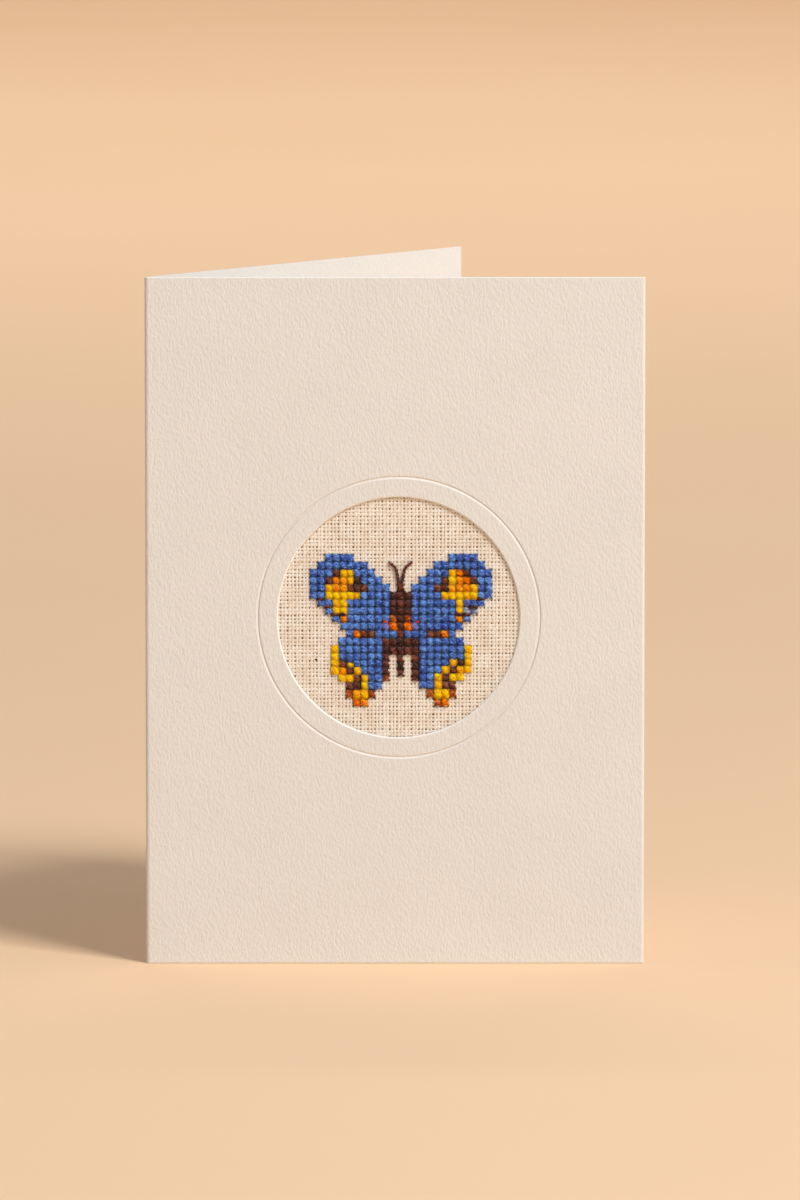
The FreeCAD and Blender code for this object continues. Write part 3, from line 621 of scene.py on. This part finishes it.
def stitch_leg(rng, cell, leg, upper, fullness, cells):
    """The strands of one leg: twisted a little, plump in the middle and narrow where they dive."""
    x, z, width, height = cell_frame(*cell)
    length = math.hypot(width, height)
    along = np.array([width, 0, -height if upper else height]) / length
    across = np.array([-along[2], 0, along[0]])
    size = (0.45 + 0.55 * min(1, leg / FULL_LEG)) * width * height / (PITCH_X * PITCH_Z)
    size = fullness * max(size, 0.62) ** 0.6
    out = np.array([0, -1.0, 0])
    s = np.linspace(0, 1, STRAND_RINGS)
    plump = swell(s, SWELL_REACH)
    spread = size * STITCH_SPREAD * (0.06 + 0.94 * plump) * rng.uniform(0.85, 1.12)
    crown = (STITCH_CROWN if upper else LOWER_CROWN) * rng.uniform(0.9, 1.08)
    first_sink, last_sink = sinks(cell, upper, cells)
    sink = first_sink + (last_sink - first_sink) * s
    lifted = -sink + (crown + sink) * np.sin(math.pi * s) ** 0.85
    stray = across * rng.normal(0, STRAY_ACROSS) + along * rng.normal(0, STRAY_ALONG)
    base = np.array([x, LINEN_FRONT, z]) + stray
    length *= rng.uniform(1.0, 1.1)
    twist = rng.uniform(0.8, 1.7)
    offset = rng.uniform(-0.4, 0.4)
    rings = []
    for strand in range(STRANDS):
        turn = offset + 2 * math.pi * strand / STRANDS + twist * (s - 0.5)
        lateral = spread * np.cos(turn)
        rise = lifted + STRAND_RISE * np.sin(turn) * plump
        path = base + along * ((s - 0.5) * length)[:, None] + across * lateral[:, None] + out * rise[:, None]
        radius = size * STRAND_RADIUS * (0.42 + 0.58 * plump) * rng.uniform(0.92, 1.08)
        rings.append(tube_rings(path, across, radius, radius, STRAND_SIDES))
    return rings


def bed(cell, cells):
    """Thread pressed down between a stitch and the next ones to its right and below it, drawn dark by the
    floss material as painted shade in the gaps.
    """
    x, z, width, height = cell_frame(*cell)
    column, row = cell
    corner = np.array([x + width / 2, LINEN_FRONT + BED_SINK, z - height / 2])
    s = np.linspace(0, 1, 5)[:, None]
    bow = np.sin(math.pi * s) * np.array([0, -BED_BOW, 0])
    rings = []
    if (column + 1, row) in cells:
        path = corner + s * np.array([0, 0, height]) + bow
        rings.append(tube_rings(path, np.array([1.0, 0, 0]), BED_HALF_WIDTH, BED_HALF_THICKNESS, 6))
    if (column, row + 1) in cells:
        path = corner - s * np.array([width, 0, 0]) + bow
        rings.append(tube_rings(path, np.array([0, 0, 1.0]), BED_HALF_WIDTH, BED_HALF_THICKNESS, 6))
    return rings


def leg_of(corners):
    """The length of a node's bar and whether it lies over the other one."""
    upper = corners.mean(0)[1] < LINEN_FRONT - LAYER
    direction = np.array([PITCH_Z, 0, PITCH_X if upper else -PITCH_X]) / math.hypot(PITCH_X, PITCH_Z)
    return np.ptp(corners @ direction), upper


def work(node, solids, cells, seed):
    """Replaces a node's bars with worked stitches in the same cells."""
    rng = np.random.default_rng(seed)
    own = colour_of(node)
    threads = {}
    for corners in solids:
        cell = cell_of(corners)
        leg, upper = leg_of(corners)
        colour, tone = OTHER_THREAD.get(cell, (own, 0.45))
        cell_rng = np.random.default_rng([seed, cell[0] + 50, cell[1]])
        tone = float(np.clip(tone + cell_rng.normal(0, 0.25) + rng.normal(0, 0.08), 0, 1))
        group = threads.setdefault(colour, [])
        fullness = THIN_THREADS.get(colour, 1.0)
        strands = stitch_leg(rng, cell, leg, upper, fullness, cells)
        group += [(ring, tone, float(upper)) for ring in strands]
        if upper:
            group += [(ring, tone, -1.0) for ring in bed(cell, cells)]
    for colour, made in threads.items():
        name = node.replace("_stitches", "_floss") + ("" if colour == own else "_" + colour)
        rings, tones, layers = zip(*made, strict=True)
        piece = tubes(name, rings, floss[colour], tone=tones, layer=layers)
        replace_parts(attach(piece, "root"), node)


stitched = {name: solids_of(name) for name in sorted(nodes) if name.endswith("_stitches")}
worked_cells = {cell_of(corners) for solids in stitched.values() for corners in solids}
for number, (node, solids) in enumerate(stitched.items()):
    work(node, solids, worked_cells, 100 + number)


# Antennae and small straight stitches: two strands twisted round each other on the surface

ANTENNA_RADIUS = 0.32 * MM
MARGIN_RADIUS = 0.36 * MM
BACKSTITCH_LIFT = 0.25 * MM
BACKSTITCH_BOW = 0.3 * MM


def twisted(rng, path, radius, turns, material_name, name, tone=(0.3, 0.6)):
    """Two strands that wind round a path lying on the cloth or on the stitches."""
    steps = len(path)
    tangent = unit(np.gradient(path, axis=0))
    out = np.array([0, -1.0, 0])
    side = unit(np.cross(tangent, out))
    winding = np.linspace(0, 2 * math.pi * turns, steps) + rng.uniform(0, math.pi)
    taper = np.clip(np.minimum(np.arange(steps), np.arange(steps)[::-1]) / 3 + 0.55, 0, 1)
    rings = []
    for phase in (0, math.pi):
        lateral = 0.55 * radius * np.cos(winding + phase)
        lift = 0.55 * radius * np.sin(winding + phase)
        strand = path + side * lateral[:, None] + out * lift[:, None]
        rings.append(tube_rings(strand, side, radius * 0.72 * taper, radius * 0.72 * taper, 8))
    return tubes(name, rings, floss[material_name], tone=tone, layer=[1.0, 1.0])


def smooth_path(points, steps):
    """A path through a few points, rounded by repeated corner cutting and evenly sampled."""
    line = np.array(points, float)
    for _ in range(4):
        pairs = zip(line, line[1:], strict=False)
        inner = [np.stack([0.75 * a + 0.25 * b, 0.25 * a + 0.75 * b]) for a, b in pairs]
        line = np.concatenate([line[:1], *inner, line[-1:]])
    lengths = np.concatenate([[0], np.cumsum(np.linalg.norm(np.diff(line, axis=0), axis=1))])
    where = np.linspace(0, lengths[-1], steps)
    return np.stack([np.interp(where, lengths, line[:, k]) for k in range(3)], axis=-1)


def antenna(side, sign, seed):
    node = side + "_antenna"
    low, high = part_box(node)
    inner, outer = (low.x, high.x) if sign > 0 else (high.x, low.x)
    depth = LINEN_FRONT - ANTENNA_RADIUS
    root_x = inner + sign * 0.2 * MM
    rise = high.z - low.z
    span = outer - root_x
    route = [
        (root_x + 0.04 * span, depth, low.z - 0.9 * MM),
        (root_x + 0.02 * span, depth, low.z),
        (root_x + 0.12 * span, depth, low.z + 0.34 * rise),
        (root_x + 0.28 * span, depth, low.z + 0.66 * rise),
        (root_x + 0.40 * span, depth, low.z + 0.76 * rise),
        (outer - sign * 0.1 * MM, depth, high.z - 0.1 * MM),
    ]
    rng = np.random.default_rng(seed)
    piece = twisted(rng, smooth_path(route, 40), ANTENNA_RADIUS, 3.5, "dark_brown", node + "_thread")
    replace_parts(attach(piece, "root"), node)
    return piece


antenna("left", -1, 31)
antenna("right", 1, 32)


def chart_point(column, row, lift):
    """A place on the butterfly's chart, lifted off the linen towards the reader."""
    return (
        MOTIF_X + column * PITCH_X,
        LINEN_FRONT - lift,
        MOTIF_Z + (MIDDLE_ROW - row) * PITCH_Z,
    )


def backstitch(name, places, colour, seed, radius, tone=(0.0, 0.3)):
    """Straight stitches from hole to hole over the finished crosses."""
    rng = np.random.default_rng(seed)
    made = []
    for number, (first, last) in enumerate(zip(places, places[1:], strict=False)):
        start, end = (np.array(chart_point(*place, BACKSTITCH_LIFT)) for place in (first, last))
        middle = (start + end) / 2 - np.array([0, BACKSTITCH_BOW, 0])
        path = smooth_path([start, middle, end], 12)
        made.append(twisted(rng, path, radius, 0.8, colour, f"{name}_{number + 1}", tone))
    for piece in made:
        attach(piece, "root")
    return made


# Chart columns and rows of the holes that a margin stitch runs between, on the right wing
WING_MARGIN = [
    [(11.45, 5.32), (10.5, 5.32)],
    [(10.5, 6.34), (9.5, 6.34)],
    [(9.55, 7.36), (8.5, 7.36), (7.5, 7.32)],
]
for side, sign in (("left", -1), ("right", 1)):
    for number, places in enumerate(WING_MARGIN):
        name = f"{side}_wing_margin_{number + 1}"
        holes = [(sign * column, row) for column, row in places]
        backstitch(name, holes, "dark_brown", 41 + number, MARGIN_RADIUS)
backstitch("left_red_accent", [(-2.35, 8.26), (-1.75, 8.26)], "red", 51, 0.26 * MM, (0.4, 0.8))
backstitch("right_red_accent", [(2.2, 8.4), (2.65, 8.2)], "red", 52, 0.2 * MM, (0.2, 0.5))
backstitch("shoulder_thread", [(0.5, 4.25), (1.45, 5.0)], "dark_brown", 53, 0.22 * MM, (0.4, 0.7))


# Card and tape keep the shapes of the frame


def dress(node, material):
    mesh = nodes[node].data
    mesh.materials.clear()
    mesh.materials.append(material)


dress("card_blank", paper_material())
tape = tape_material()
for node in nodes:
    if "_tape_" in node:
        dress(node, tape)


# Studio: a pale sweep, soft light from the upper right and the photograph's long, slightly high view

FLOOR_DROP = 0.05 * MM
CAMERA_PLACE = (0.0012, -2.446, 0.3653)
CAMERA_LOOKS_DOWN = 6.587
LENS = 301.5
SENSOR_HEIGHT = 36.0


def sweep():
    """A floor that curves up into a backdrop."""
    width, near, far, bend, height = 7.0, -4.5, 5.2, 0.8, 3.0
    line = [(near, 0.0), (far - bend, 0.0)]
    arcs = 16
    for step in range(1, arcs + 1):
        turn = math.radians(90 * step / arcs)
        line.append((far - bend + bend * math.sin(turn), bend - bend * math.cos(turn)))
    line.append((far, height))
    points = [(x, y, z - FLOOR_DROP) for y, z in line for x in (-width / 2, width / 2)]
    faces = [(2 * i, 2 * i + 1, 2 * i + 3, 2 * i + 2) for i in range(len(line) - 1)]
    floor = new_piece("studio_sweep", points, faces, floor_material())


def soft_light(name, place, aim, size, watts, colour=(1, 1, 1)):
    lamp = bpy.data.lights.new(name, "AREA")
    lamp.shape = "SQUARE"
    lamp.size = size
    lamp.energy = watts
    lamp.color = colour
    holder = bpy.data.objects.new(name, lamp)
    holder.location = place
    holder.rotation_euler = (Vector(aim) - Vector(place)).to_track_quat("-Z", "Y").to_euler()
    scene.collection.objects.link(holder)


def world_light(strength):
    world = bpy.data.worlds.new("studio")
    world.use_nodes = True
    tree = world.node_tree
    background = tree.nodes["Background"]
    background.inputs["Color"].default_value = (0.97, 0.985, 1.0, 1)
    background.inputs["Strength"].default_value = strength
    scene.world = world


def camera():
    """Straight on to the front panel, from above its middle and far away."""
    lens = bpy.data.cameras.new("camera")
    lens.sensor_fit = "VERTICAL"
    lens.sensor_height = SENSOR_HEIGHT
    lens.lens = LENS
    lens.clip_end = 50
    holder = bpy.data.objects.new("camera", lens)
    holder.location = CAMERA_PLACE
    holder.rotation_euler = (math.radians(90 - CAMERA_LOOKS_DOWN), 0, 0)
    scene.collection.objects.link(holder)
    scene.camera = holder


sweep()
aim = (0, 0, 0.08)
soft_light("key", (1.12, -1.36, 1.95), aim, 0.75, 48.0, (1.0, 0.985, 0.97))
soft_light("side", (1.9, -0.5, 0.35), aim, 0.8, 5.0, (1.0, 0.985, 0.97))
soft_light("backdrop_wash", (0.0, 2.4, 2.6), (0, 4.2, 0), 1.6, 44.0, (1.0, 0.97, 0.93))
world_light(0.28)
camera()
scene.view_settings.view_transform = "Standard"
